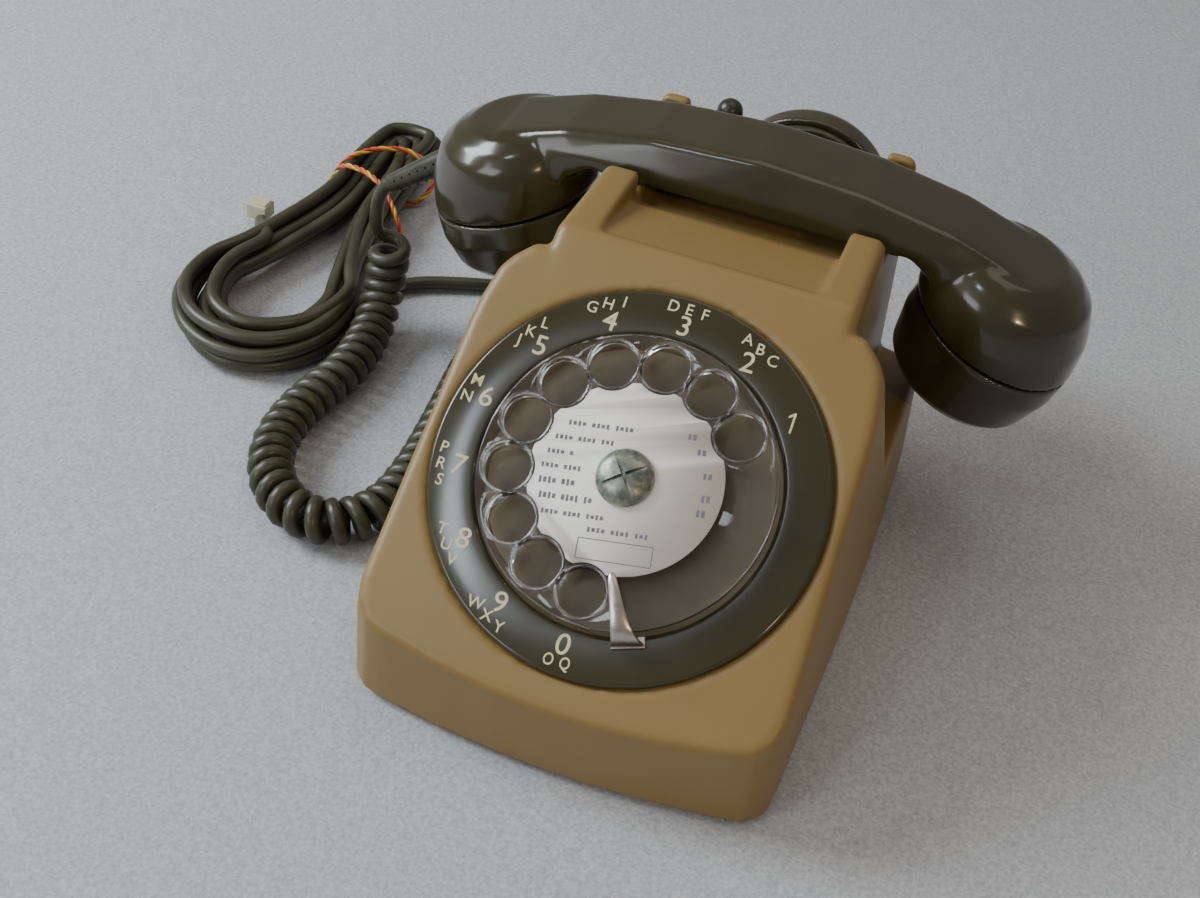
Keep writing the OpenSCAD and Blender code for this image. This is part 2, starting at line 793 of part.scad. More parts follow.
// Axis of the coil, down to the table, round in a bend and back along the case
coil_axis = [[-128, 57, 36], [-128.5, 56.5, 25], [-128.5, 52, 15], [-127, 42, 9.4], [-125, 28, 8.4], [-125, 13, 8.4],
             [-127.5, -1, 8.4], [-129, -14, 8.4], [-128, -27, 8.4], [-124, -38.5, 8.4], [-117, -48, 8.4],
             [-107, -54.5, 8.4], [-96, -55, 8.4], [-87, -48.5, 8.4], [-82, -37, 8.4], [-81, -21, 8.4],
             [-82, -4, 8.4], [-84, 16, 8.4], [-86, 34, 8.4], [-87, 52, 8.4]];
// Plain end of the handset cord, into the rear of the case
curl_tail = [[-87, 52.6, 8.4], [-87, 56, 8.4], [-87, 66, 6], [-82, 80, 4.5], [-72, 89, 5], [-58, 94, 8], [-47, 93, 12], [-42, 88.4, 13],
             [-42, 84.8, 13]];
// Line cord from the case to the hank
line_route = [[-14, 84.4, 13], [-14, 88, 13], [-15, 94, 10], [-22, 100, 5], [-40, 104.5, 3], [-70, 102, 3], [-97, 95, 3],
              [-119, 86, 3.2], [-130, 79, 4], [-139, 73, 5]];

module handset_cord_lead() {
  color(cord_col) tube(smooth(curl_lead, 2), curl_d / 2);
}

module handset_cord_coil() {
  color(cord_col) tube(smooth(coil_axis, 1), coil_d / 2, 10);
}

module handset_cord_tail() {
  color(cord_col) tube(smooth(curl_tail, 2), curl_d / 2);
}

module line_cord_lead() {
  color(cord_col) tube(smooth(line_route, 2), line_d / 2);
}

// Outline of the tied bundle: a wide loop, a waist under the tie and a short loop beyond it
module hank_outline() {
  hull() {
    translate([-155, 20]) circle(r = 20);
    translate([-173, 64]) circle(r = 26);
    translate([-165, 122]) circle(r = 20);
  }
  hull() {
    translate([-165, 122]) circle(r = 20);
    translate([-179, 152]) circle(r = 18);
  }
}

module line_cord_hank() {
  color(cord_col) translate([0, 0, 1.8]) linear_extrude(15) hank_outline();
}

module hank_tie() {
  color([0.8, 0.35, 0.15]) translate([-165, 122, 0]) difference() {
    box(-25, 25, -4, 4, 0.2, 18.4);
    box(-23.6, 23.6, -8, 8, 1.6, 17);
  }
}

module line_connector() {
  color([0.85, 0.80, 0.65]) translate([-201, 93, 7]) cube([10, 9, 7], center = true);
}

module cord_glands() {
  color([0.1, 0.1, 0.1]) for (x = [-42, -14])
    translate([x, 84.1, 13]) rotate([90, 0, 0]) cylinder(r = 4.9, h = 11);
}

case_shell();
case_top();
base_tray();
case_screws();
rubber_feet();
number_ring();
finger_stop();
finger_wheel();
card();
centre_screw();
dial_body();
dial_screws();
dial_shaft();
main_gear();
idler_pinion();
worm_wheel();
idler_arbor();
governor();
governor_bracket();
mainspring();
pulse_cam();
pulse_contacts();
left_plunger();
right_plunger();
hook_bar();
hook_bracket();
hook_contacts();
hook_spring();
ringer_frame();
left_gong();
right_gong();
gong_screws();
ringer_coils();
ringer_magnet();
clapper();
clapper_bracket();
circuit_board();
board_spacers();
speech_transformer();
bell_capacitor();
terminal_strip();
handset_body();
handset_grip();
mouth_cap();
ear_cap();
transmitter_capsule();
receiver_capsule();
handset_sleeve();
hanger();
second_earpiece();
second_ear_cap();
second_capsule();
cord_glands();
handset_cord_lead();
handset_cord_coil();
handset_cord_tail();
line_cord_lead();
line_cord_hank();
hank_tie();
line_connector();
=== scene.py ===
import math
import bpy
import bmesh
from mathutils import Matrix, Vector


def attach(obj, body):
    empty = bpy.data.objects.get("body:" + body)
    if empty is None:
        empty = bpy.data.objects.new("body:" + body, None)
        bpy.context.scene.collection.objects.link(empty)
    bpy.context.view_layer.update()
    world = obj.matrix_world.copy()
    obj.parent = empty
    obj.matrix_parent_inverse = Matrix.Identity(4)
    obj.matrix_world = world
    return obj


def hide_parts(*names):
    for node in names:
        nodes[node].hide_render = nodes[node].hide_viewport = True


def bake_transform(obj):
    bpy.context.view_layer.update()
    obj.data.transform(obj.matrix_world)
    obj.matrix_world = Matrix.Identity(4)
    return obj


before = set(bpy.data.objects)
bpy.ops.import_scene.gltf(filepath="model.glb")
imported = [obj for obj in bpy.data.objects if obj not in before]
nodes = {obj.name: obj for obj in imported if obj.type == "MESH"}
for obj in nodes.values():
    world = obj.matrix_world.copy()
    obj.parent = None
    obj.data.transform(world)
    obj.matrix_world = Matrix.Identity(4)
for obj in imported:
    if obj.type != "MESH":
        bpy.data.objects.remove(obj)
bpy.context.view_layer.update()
scene = bpy.context.scene


# ---- Camera -------------------------------------------------------------------------
# Stands in front of the telephone and a little to its right, at the height of a seated
# caller's eyes, tipped slightly to one side.
camera_turn, camera_height, camera_tip = math.radians(15.475), math.radians(40.743), math.radians(7.41)
level = Vector((math.cos(camera_turn), math.sin(camera_turn), 0))
behind = Vector((math.sin(camera_turn) * math.cos(camera_height),
                 -math.cos(camera_turn) * math.cos(camera_height), math.sin(camera_height)))
upright = behind.cross(level)
across = math.cos(camera_tip) * level + math.sin(camera_tip) * upright
upwards = math.cos(camera_tip) * upright - math.sin(camera_tip) * level
camera = bpy.data.objects.new("camera", bpy.data.cameras.new("camera"))
camera.data.lens = 49.9
camera.data.sensor_width = 36
camera.data.clip_start = 0.01
place = Matrix((across, upwards, behind)).transposed().to_4x4()
place.translation = (0.08304, -0.39235, 0.37398)
camera.matrix_world = place
scene.collection.objects.link(camera)
scene.camera = camera


# ---- Handset cord -------------------------------------------------------------------
# A sprung curly cord: plain for the first few centimetres, then wound into a tight coil that
# hangs to the table, bends round and runs back beside the case, and plain again into the gland.
# Extruded PVC sheath, dark olive, slightly greasy from handling.
def smooth_route(points, steps):
    p = [Vector(q) for q in points]
    p = [2 * p[0] - p[1]] + p + [2 * p[-1] - p[-2]]
    out = []
    for a, b, c, d in zip(p, p[1:], p[2:], p[3:]):
        for k in range(steps):
            t = k / steps
            out.append(0.5 * ((2 * b) + (c - a) * t + (2 * a - 5 * b + 4 * c - d) * t * t
                              + (3 * b - a - 3 * c + d) * t ** 3))
    return out + [p[-2]]


def evenly(points, gap):
    out, left = [points[0].copy()], gap
    for a, b in zip(points, points[1:]):
        length = (b - a).length
        while length >= left > 0:
            a = a.lerp(b, left / length)
            out.append(a.copy())
            length, left = (b - a).length, gap
        left -= length
    return out


def along_coil(points, radius, pitch, start, steps=14):
    # the helix that winds round a route, one turn for each pitch of length
    line = evenly(points, pitch / steps)
    side = Vector(start)
    out = []
    for i, p in enumerate(line):
        way = (line[min(i + 1, len(line) - 1)] - line[max(i - 1, 0)]).normalized()
        side = (side - way * side.dot(way)).normalized()
        turn = 2 * math.pi * i / steps
        out.append(p + radius * (math.cos(turn) * side + math.sin(turn) * way.cross(side)))
    return out


def soften(points, rounds, keep=2):
    for _ in range(rounds):
        threes = zip(points[keep - 1:], points[keep:], points[keep + 1:-keep + 1 or None])
        middle = [(a + 2 * b + c) / 4 for a, b, c in threes][:len(points) - 2 * keep]
        points = points[:keep] + middle + points[-keep:]
    return points


def cord_curve(name, points, diameter, sides=6):
    data = bpy.data.curves.new(name, "CURVE")
    data.dimensions = "3D"
    data.bevel_depth = diameter / 2
    data.bevel_resolution = sides
    data.use_fill_caps = True
    spline = data.splines.new("POLY")
    spline.points.add(len(points) - 1)
    for point, q in zip(spline.points, points):
        point.co = (*q, 1)
    spline.use_smooth = True
    made = bpy.data.objects.new(name, data)
    scene.collection.objects.link(made)
    return made


def new_material(name):
    made = bpy.data.materials.new(name)
    made.use_nodes = True
    return made, made.node_tree, made.node_tree.nodes["Principled BSDF"]


def speckle(tree, scale, detail=4, rough=0.6):
    where = tree.nodes.new("ShaderNodeTexCoord")
    made = tree.nodes.new("ShaderNodeTexNoise")
    made.inputs["Scale"].default_value = scale
    made.inputs["Detail"].default_value = detail
    made.inputs["Roughness"].default_value = rough
    tree.links.new(where.outputs["Object"], made.inputs["Vector"])
    return made


def shade_between(tree, source, socket, low, high, start=0.3, end=0.7):
    ramp = tree.nodes.new("ShaderNodeValToRGB")
    ramp.color_ramp.elements[0].position, ramp.color_ramp.elements[1].position = start, end
    ramp.color_ramp.elements[0].color = (*low, 1) if len(low) == 3 else low
    ramp.color_ramp.elements[1].color = (*high, 1) if len(high) == 3 else high
    tree.links.new(source, ramp.inputs["Fac"])
    tree.links.new(ramp.outputs["Color"], socket)
    return ramp


def vary(tree, source, socket, low, high):
    spread = tree.nodes.new("ShaderNodeMapRange")
    spread.inputs["From Min"].default_value, spread.inputs["From Max"].default_value = 0.3, 0.7
    spread.inputs["To Min"].default_value, spread.inputs["To Max"].default_value = low, high
    tree.links.new(source, spread.inputs["Value"])
    tree.links.new(spread.outputs["Result"], socket)


def raise_by(tree, shader, source, distance, strength=0.5):
    bump = tree.nodes.new("ShaderNodeBump")
    bump.inputs["Distance"].default_value = distance
    bump.inputs["Strength"].default_value = strength
    tree.links.new(source, bump.inputs["Height"])
    tree.links.new(bump.outputs["Normal"], shader.inputs["Normal"])


def mottled(name, low, high, rough_low, rough_high, broad=30, fine=900, bump=0.00004,
            metal=0.0, coat=0.0):
    # a colour and a gloss that drift over the surface, with a fine grain
    made, tree, shader = new_material(name)
    shader.inputs["Metallic"].default_value = metal
    shader.inputs["Coat Weight"].default_value = coat
    shader.inputs["Coat Roughness"].default_value = 0.12
    patches = speckle(tree, broad)
    grain = speckle(tree, fine, 3)
    shade_between(tree, patches.outputs["Fac"], shader.inputs["Base Color"], low, high)
    vary(tree, patches.outputs["Fac"], shader.inputs["Roughness"], rough_low, rough_high)
    raise_by(tree, shader, grain.outputs["Fac"], bump)
    return made


sheath = mottled("cord_sheath", (0.036, 0.037, 0.019), (0.060, 0.061, 0.034), 0.30, 0.42,
                 60, 1400, 0.00003)
handset_cord_diameter, coil_radius, coil_pitch = 0.0048, 0.0063, 0.0062
cord_leaves_cup = (-.1284, .058, .0597)

curl_lead = [cord_leaves_cup, (-.1304, .058, .0582), (-.1332, .058, .052), (-.134, .058, .045)]
coil_axis = [(-.128, .057, .036), (-.1285, .0565, .025), (-.1285, .052, .015), (-.127, .042, .0094),
             (-.125, .028, .0084), (-.125, .013, .0084), (-.1275, -.001, .0084), (-.129, -.014, .0084),
             (-.128, -.027, .0084), (-.124, -.0385, .0084), (-.117, -.048, .0084), (-.107, -.0545, .0084),
             (-.096, -.055, .0084), (-.087, -.0485, .0084), (-.082, -.037, .0084), (-.081, -.021, .0084),
             (-.082, -.004, .0084), (-.084, .016, .0084), (-.086, .034, .0084), (-.087, .052, .0084)]
curl_tail = [(-.087, .060, .0084), (-.087, .066, .006), (-.082, .080, .0045), (-.072, .089, .005),
             (-.058, .094, .008), (-.047, .093, .012), (-.042, .0884, .013), (-.042, .0848, .013)]
turns = along_coil(smooth_route(coil_axis, 8), coil_radius, coil_pitch, (-1, 0, 0))
whole = smooth_route(curl_lead, 4) + soften(turns, 1) + smooth_route(curl_tail, 5)
whole = soften(whole, 2)
drawn = cord_curve("handset_cord_line", whole, handset_cord_diameter)
tube = bpy.data.meshes.new_from_object(drawn.evaluated_get(bpy.context.evaluated_depsgraph_get()))
bpy.data.objects.remove(drawn)
handset_cord = bpy.data.objects.new("handset_cord", tube)
scene.collection.objects.link(handset_cord)
tube.shade_smooth()
tube.materials.clear()
tube.materials.append(sheath)
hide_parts("handset_cord_lead", "handset_cord_coil", "handset_cord_tail")
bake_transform(handset_cord)


# ---- Line cord and its bundle -------------------------------------------------------
# Round PVC lead from the back of the case, gathered into an untidy hank of long loops that
# is held near one end by a twisted wire. Its flat connector sticks out of the left side.
line_cord_diameter = 0.005
cord_leaves_case = (-.014, .0844, .013)
line_route = [cord_leaves_case, (-.014, .088, .013), (-.015, .094, .010), (-.022, .100, .005),
              (-.040, .1045, .003), (-.070, .102, .0028), (-.097, .095, .0028), (-.119, .086, .003),
              (-.130, .079, .003), (-.137, .069, .003)]
hank = []
# each loop: half width and half length of the wide end, its height, where the waist lies to the
# left and right, and how far the narrow end reaches
loops = [
    (.0325, .0400, .0044, -.0140, .0140, .1700), (.0270, .0350, .0046, -.0088, .0088, .1660),
    (.0310, .0375, .0092, -.0122, .0118, .1685), (.0215, .0285, .0050, -.0036, .0040, .1600),
    (.0255, .0330, .0098, -.0070, .0066, .1635), (.0290, .0350, .0138, -.0105, .0100, .1650),
    (.0190, .0250, .0102, -.0020, .0030, .1585), (.0235, .0290, .0146, -.0052, .0050, .1615)]
for k, (rx, ry, z, left, right, end) in enumerate(loops):
    cx, cy = -.1665 + .0018 * math.sin(2.1 * k), .0445 + .0020 * math.cos(1.7 * k)
    ring = []
    if k:
        ring += [(-.1665 + right * .96, .132, z), (-.1655 + right, .116, z), (-.1640 + right * 1.15, .096, z)]
    for angle in (40, 8, -28, -62, -95, -128, -160, 170, 140):
        a = math.radians(angle)
        wobble = .0010 * math.sin(3 * a + 2 * k)
        ring.append((cx + (rx + wobble) * math.cos(a), cy + (ry + wobble) * math.sin(a),
                     z + .0005 * math.sin(2 * a + k)))
    if k < len(loops) - 1:
        ring += [(-.1690 + left * 1.15, .096, z), (-.1680 + left, .116, z), (-.1695 + left, .132, z)]
        reach = (right - left) / 2
        tip_x = -.1720 + .002 * (k % 3) + (left + right) / 2
        for angle in (165, 120, 75, 30):
            a = math.radians(angle)
            ring.append((tip_x + reach * math.cos(a), end - reach + reach * math.sin(a), z + .0004))
    hank += ring[1:] if k == 0 else ring
hank += [(-.1880, .0740, .0125), (-.1925, .0790, .0095), (-.1960, .0850, .0070)]
bundle = smooth_route(line_route + hank, 7)
line_cord = cord_curve("line_cord", soften(bundle, 2), line_cord_diameter)
line_cord.data.materials.append(sheath)
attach(line_cord, "case")
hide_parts("line_cord_lead", "line_cord_hank")

# Three thin insulated wires twisted together and wrapped twice round the bundle.
tie_routes = [
    [(-.1845, .1235, .009), (-.1810, .1290, .0158), (-.1730, .1370, .0182), (-.1620, .1430, .0178),
     (-.1520, .1440, .0130), (-.1490, .1390, .006), (-.1540, .1320, .0014), (-.1690, .1260, .0014),
     (-.1815, .1225, .0030), (-.1845, .1235, .009)],
    [(-.1848, .1205, .009), (-.1800, .1225, .0160), (-.1700, .1200, .0184), (-.1590, .1140, .0180),
     (-.1490, .1060, .0125), (-.1450, .1030, .005), (-.1510, .1050, .0014), (-.1680, .1130, .0014),
     (-.1810, .1180, .0030), (-.1848, .1205, .009)]]
tie_colours = [((0.62, 0.06, 0.04), (0.45, 0.04, 0.03)), ((0.80, 0.55, 0.05), (0.65, 0.42, 0.03)),
               ((0.75, 0.20, 0.04), (0.60, 0.14, 0.03))]
third_of_a_turn = 2.094
for number, route in enumerate(tie_routes):
    for strand, (colour, deep) in enumerate(tie_colours):
        if number == 0:
            mottled(f"tie_wire_{strand}", deep, colour, 0.3, 0.45, 120, 2000, 0.00001)
        start = (math.cos(strand * third_of_a_turn), math.sin(strand * third_of_a_turn), 0.3)
        twisted = along_coil(smooth_route(route, 10), .0006, .011, start, 12)
        wire = cord_curve(f"tie_wire_{number}_{strand}", twisted, .0011, 3)
        wire.data.materials.append(bpy.data.materials[f"tie_wire_{strand}"])
        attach(wire, "case")
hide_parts("hank_tie")

# The connector is a small pale block, moulded on the end of the lead, lying under the loops.
connector = bpy.data.meshes.new("line_connector_block")
shape = bmesh.new()
for low, high in (((-.2050, .0890, .0036), (-.1965, .0965, .0098)),
                  ((-.2015, .0900, .0094), (-.1970, .0955, .0104))):
    bmesh.ops.create_cube(shape, size=1, matrix=Matrix.Translation((Vector(low) + Vector(high)) / 2)
                          @ Matrix.Diagonal((*(Vector(high) - Vector(low)), 1)))
bmesh.ops.bevel(shape, geom=shape.edges[:], offset=.0006, segments=2, affect="EDGES", profile=0.6)
shape.to_mesh(connector)
shape.free()
connector = bpy.data.objects.new("line_plug", connector)
scene.collection.objects.link(connector)
connector.data.materials.append(mottled("cream_plastic", (0.50, 0.46, 0.32), (0.62, 0.58, 0.42),
                                        0.4, 0.5, 200, 2000))
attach(connector, "case")
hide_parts("line_connector")


# ---- Table and light ----------------------------------------------------------------
# A pale laminate table top under a window on the left, whose sheen lies on the dial's left side,
# with a weak warm lamp on the right.
table = bpy.data.meshes.new("table_top")
table.from_pydata([(-3, -3, -.0004), (3, -3, -.0004), (3, 3, -.0004), (-3, 3, -.0004)], [], [(0, 1, 2, 3)])
table = bpy.data.objects.new("table_top", table)
scene.collection.objects.link(table)
laminate, tree, shader = new_material("pale_table")
flecks = speckle(tree, 760, 6, 0.8)
shade_between(tree, flecks.outputs["Fac"], shader.inputs["Base Color"],
              (0.33, 0.345, 0.37), (0.62, 0.63, 0.65), 0.34, 0.66)
vary(tree, flecks.outputs["Fac"], shader.inputs["Roughness"], 0.55, 0.75)
raise_by(tree, shader, flecks.outputs["Fac"], .0003, 0.6)
table.data.materials.append(laminate)


def soft_box(name, spot, aim, width, height, power, colour):
    light = bpy.data.objects.new(name, bpy.data.lights.new(name, "AREA"))
    light.data.shape = "RECTANGLE"
    light.data.size, light.data.size_y = width, height
    light.data.energy = power
    light.data.color = colour
    light.location = spot
    light.rotation_euler = (Vector(aim) - Vector(spot)).to_track_quat("-Z", "Y").to_euler()
    scene.collection.objects.link(light)


soft_box("window", (-1.15, -.10, .85), (0, 0, .05), .55, .7, 20, (0.88, 0.94, 1.0))
soft_box("skylight", (-.46, -.77, 1.35), (-.04, -.08, .06), .15, .28, 1.6, (0.80, 0.90, 1.0))
soft_box("front_fill", (-.9, -1.3, .8), (0, 0, .03), .8, .6, 6, (0.90, 0.94, 1.0))
soft_box("overhead", (.2, .5, 1.9), (0, 0, 0), 1.6, 1.2, 5, (1.0, 0.90, 0.80))
soft_box("lamp", (1.1, -1.2, 1.1), (0, 0, .05), .12, .12, 4, (1.0, 0.72, 0.42))
scene.world = bpy.data.worlds.new("room")
scene.world.use_nodes = True
scene.world.node_tree.nodes["Background"].inputs["Color"].default_value = (0.80, 0.76, 0.71, 1)
scene.world.node_tree.nodes["Background"].inputs["Strength"].default_value = 0.35


# ---- Case ---------------------------------------------------------------------------
# One thick injection moulding in brown-beige ABS with a fine satin texture and generous soft
# corners. It drops over the base and is held by four screws from below.
def soft_copy(members, name, body, grain_size, passes):
    # the moulding's own shape, its parts joined, with its edges and inner corners rounded over
    made = bpy.data.objects.new(name, bpy.data.meshes.new(name))
    scene.collection.objects.link(made)
    shape = bmesh.new()
    for node in members:
        shape.from_mesh(nodes[node].data)
    shape.to_mesh(made.data)
    shape.free()
    step = made.modifiers.new("even", "REMESH")
    step.mode, step.voxel_size, step.use_smooth_shade = "VOXEL", grain_size, True
    step = made.modifiers.new("soften", "SMOOTH")
    step.factor, step.iterations = 0.5, passes
    depsgraph = bpy.context.evaluated_depsgraph_get()
    finished = bpy.data.meshes.new_from_object(made.evaluated_get(depsgraph))
    made.modifiers.clear()
    made.data = finished
    for face in made.data.polygons:
        face.use_smooth = True
    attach(made, body)
    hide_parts(*members)
    return made


case_plastic, tree, shader = new_material("case_plastic")
tone = speckle(tree, 9, 5)
grain = speckle(tree, 1500, 2)
shade_between(tree, tone.outputs["Fac"], shader.inputs["Base Color"],
              (0.228, 0.146, 0.043), (0.258, 0.168, 0.053))
vary(tree, grain.outputs["Fac"], shader.inputs["Roughness"], 0.40, 0.50)
raise_by(tree, shader, grain.outputs["Fac"], .00005, 0.4)
shader.inputs["Coat Weight"].default_value = 0.12
shader.inputs["Coat Roughness"].default_value = 0.25
case = soft_copy(["case_shell", "case_top"], "case_moulding", "case", .00095, 9)
case.data.materials.append(case_plastic)


def give_finish(finish, *members):
    for node in members:
        nodes[node].data.materials.clear()
        nodes[node].data.materials.append(finish)


# The base tray, a separate moulding in the same plastic, shows as a rim under the case.
give_finish(mottled("base_plastic", (0.19, 0.122, 0.038), (0.23, 0.150, 0.048), 0.5, 0.6, 40, 1500),
            "base_tray")

# Feet and cord glands of soft black rubber, pressed into the base and the back.
give_finish(mottled("foot_rubber", (0.012, 0.012, 0.012), (0.024, 0.024, 0.024), 0.7, 0.85, 300, 2500),
            "rubber_feet", "cord_glands")


# ---- Number ring --------------------------------------------------------------------
# Glossy olive moulding that fills the recess of the sloping face. Its flat border carries the
# digits and letters, filled with cream paint; inside it drops to a pan under the wheel.
dial_place = Matrix.Translation((0, -.0593, .0671)) @ Matrix.Rotation(math.radians(36), 4, "X")
first_hole, hole_step = 38.8, 25.5
digit_circle, letter_circle, hole_circle = .0478, .0529, .0333


def mesh_piece(name, made, body, material, smooth=True, placed=None, sharp=35):
    data = bpy.data.meshes.new(name)
    made.to_mesh(data)
    made.free()
    if placed:
        data.transform(placed)
    for face in data.polygons:
        face.use_smooth = smooth
    data.set_sharp_from_angle(angle=math.radians(sharp))
    piece = bpy.data.objects.new(name, data)
    scene.collection.objects.link(piece)
    data.materials.append(material)
    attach(piece, body)
    return piece


def turned(outline, segments=160):
    # a closed outline of (radius, height) turned about the local Z axis
    made = bmesh.new()
    rings = []
    for r, h in outline:
        count = segments if r > 1e-6 else 1
        turns_round = [2 * math.pi * i / segments for i in range(count)]
        rings.append([made.verts.new((r * math.cos(a), r * math.sin(a), h)) for a in turns_round])
    for a, b in zip(rings, rings[1:] + rings[:1]):
        for i in range(segments):
            j = (i + 1) % segments
            corners = [a[i % len(a)], a[j % len(a)], b[j % len(b)], b[i % len(b)]]
            corners = [c for n, c in enumerate(corners) if c not in corners[:n]]
            if len(corners) > 2:
                made.faces.new(corners)
    bmesh.ops.recalc_face_normals(made, faces=made.faces[:])
    return made


def rounded(outline, radius, steps=3):
    # each corner of the outline given as (r, h, 1) is turned into a small arc
    out = []
    count = len(outline)
    for i, corner in enumerate(outline):
        here = Vector(corner[:2])
        if len(corner) < 3:
            out.append(tuple(here))
            continue
        to_a, to_b = Vector(outline[i - 1][:2]) - here, Vector(outline[(i + 1) % count][:2]) - here
        reach = min(radius * corner[2], to_a.length * .45, to_b.length * .45)
        a, b = here + to_a.normalized() * reach, here + to_b.normalized() * reach
        for s in range(steps + 1):
            t = s / steps
            out.append(tuple((1 - t) ** 2 * a + 2 * t * (1 - t) * here + t * t * b))
    return out


olive = mottled("olive_plastic", (0.030, 0.027, 0.010), (0.041, 0.036, 0.015), 0.14, 0.20,
                25, 1800, 0.00001, coat=0.5)
ring = turned(rounded([(.012, -.0036), (.012, -.0022), (.040, -.0022), (.0428, .0002, 1),
                       (.0437, .0014, 1), (.0560, .0014, 1), (.0567, .0004, 1), (.0567, -.0016),
                       (.048, -.0016), (.046, -.0036)], .0006))
ring = mesh_piece("number_ring_moulding", ring, "case", olive, True, dial_place)
# the pan under the wheel is the same plastic, unpolished, given a lighter and browner colour than the ring as
# painted light falling on it through the clear wheel
ring.data.materials.append(mottled("dial_pan", (0.120, 0.098, 0.058), (0.160, 0.130, 0.080),
                                   0.35, 0.5, 60, 1200, 0.00003))
for face in ring.data.polygons:
    spot = dial_place.inverted() @ face.center
    if math.hypot(spot.x, spot.y) < .0428 and spot.z > -.003:
        face.material_index = 1
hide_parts("number_ring")

cream = mottled("cream_paint", (0.62, 0.56, 0.34), (0.72, 0.66, 0.42), 0.45, 0.6, 400, 2000, 0.00002)


def lettering(name, text, radius, angle, height, thick, material, rise, body, turn=0.0, wide=1.0):
    # upright characters just proud of the surface, centred at a radius and an angle
    curve = bpy.data.curves.new(name, "FONT")
    curve.body = text
    curve.align_x, curve.align_y = "CENTER", "CENTER"
    curve.size = height * 1.40
    curve.extrude = .00004
    curve.offset = thick
    curve.resolution_u = 4
    holder = bpy.data.objects.new(name, curve)
    scene.collection.objects.link(holder)
    data = bpy.data.meshes.new_from_object(holder.evaluated_get(bpy.context.evaluated_depsgraph_get()))
    bpy.data.objects.remove(holder)
    xs, ys = [v.co.x for v in data.vertices], [v.co.y for v in data.vertices]
    data.transform(Matrix.Translation((-(min(xs) + max(xs)) / 2, -(min(ys) + max(ys)) / 2, 0)))
    a = math.radians(angle)
    data.transform(dial_place @ Matrix.Translation((radius * math.cos(a), radius * math.sin(a), rise))
                   @ Matrix.Rotation(turn, 4, "Z") @ Matrix.Diagonal((wide, 1, 1, 1)))
    data.materials.clear()
    data.materials.append(material)
    piece = bpy.data.objects.new(name, data)
    scene.collection.objects.link(piece)
    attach(piece, body)
    return piece


letters = ["", "ABC", "DEF", "GHI", "JKL", "MN", "PRS", "TUV", "WXY", "OQ"]
for k in range(10):
    spot = first_hole + hole_step * k
    digit = (k + 1) % 10
    if k:
        lettering(f"digit_{digit}", str(digit), digit_circle, spot, .0060, .00002, cream, .00143,
                  "case", 0, 1.05)
    count = len(letters[k])
    for n, letter in enumerate(letters[k]):
        gap = 5.9 if count == 2 and k == 5 else 5.1
        spread = spot - (n - (count - 1) / 2) * gap * (1 if spot < 160 else -1)
        lettering(f"letter_{letter}_{k}", letter, letter_circle, spread, .0034, .00003, cream, .00143,
                  "case", 0, 0.8 if k == 9 else 1.0)
# the figure one has a short flag and no foot
one = bmesh.new()
outline = [(.0004, -.0030), (.0010, -.0030), (.0010, .0030), (.0005, .0030), (-.0009, .0018),
           (-.0009, .0011), (.0004, .0021)]
one.faces.new([one.verts.new((x, y, 0)) for x, y in outline])
a = math.radians(first_hole)
one_place = dial_place @ Matrix.Translation((digit_circle * math.cos(a), digit_circle * math.sin(a), .00147))
one = mesh_piece("digit_1", one, "case", cream, False, one_place)


# ---- Finger wheel -------------------------------------------------------------------
# Injection-moulded clear acrylic, faintly smoky, with a raised rim round each finger hole and a
# stepped edge. It is clamped on the dial shaft by the centre screw.
hole_angles = [math.radians(first_hole + hole_step * k) for k in range(10)]
clear, tree, shader = new_material("clear_acrylic")
shader.inputs["Transmission Weight"].default_value = 1.0
shader.inputs["IOR"].default_value = 1.45
scuffs = speckle(tree, 220, 5)
shade_between(tree, scuffs.outputs["Fac"], shader.inputs["Base Color"],
              (0.95, 0.945, 0.94), (0.985, 0.98, 0.97))
vary(tree, scuffs.outputs["Fac"], shader.inputs["Roughness"], 0.02, 0.09)


def plate_with_holes(name, outer, holes, hole_radius, low, high, edge, centre_hole):
    outline = bpy.data.curves.new(name, "CURVE")
    outline.dimensions = "2D"
    outline.fill_mode = "BOTH"
    outline.extrude = (high - low) / 2 - edge
    outline.bevel_depth, outline.bevel_resolution = edge, 2
    circles = [(0, 0, outer - edge, 128)] + [(x, y, hole_radius + edge, 48) for x, y in holes]
    if centre_hole:
        circles.append((0, 0, centre_hole + edge, 32))
    for x, y, r, count in circles:
        spline = outline.splines.new("POLY")
        spline.points.add(count - 1)
        for i in range(count):
            a = 2 * math.pi * i / count
            spline.points[i].co = (x + r * math.cos(a), y + r * math.sin(a), 0, 1)
        spline.use_cyclic_u = True
    holder = bpy.data.objects.new(name, outline)
    scene.collection.objects.link(holder)
    data = bpy.data.meshes.new_from_object(holder.evaluated_get(bpy.context.evaluated_depsgraph_get()))
    bpy.data.objects.remove(holder)
    made = bmesh.new()
    made.from_mesh(data)
    bmesh.ops.remove_doubles(made, verts=made.verts[:], dist=.000004)
    bmesh.ops.translate(made, vec=(0, 0, (high + low) / 2), verts=made.verts[:])
    return made


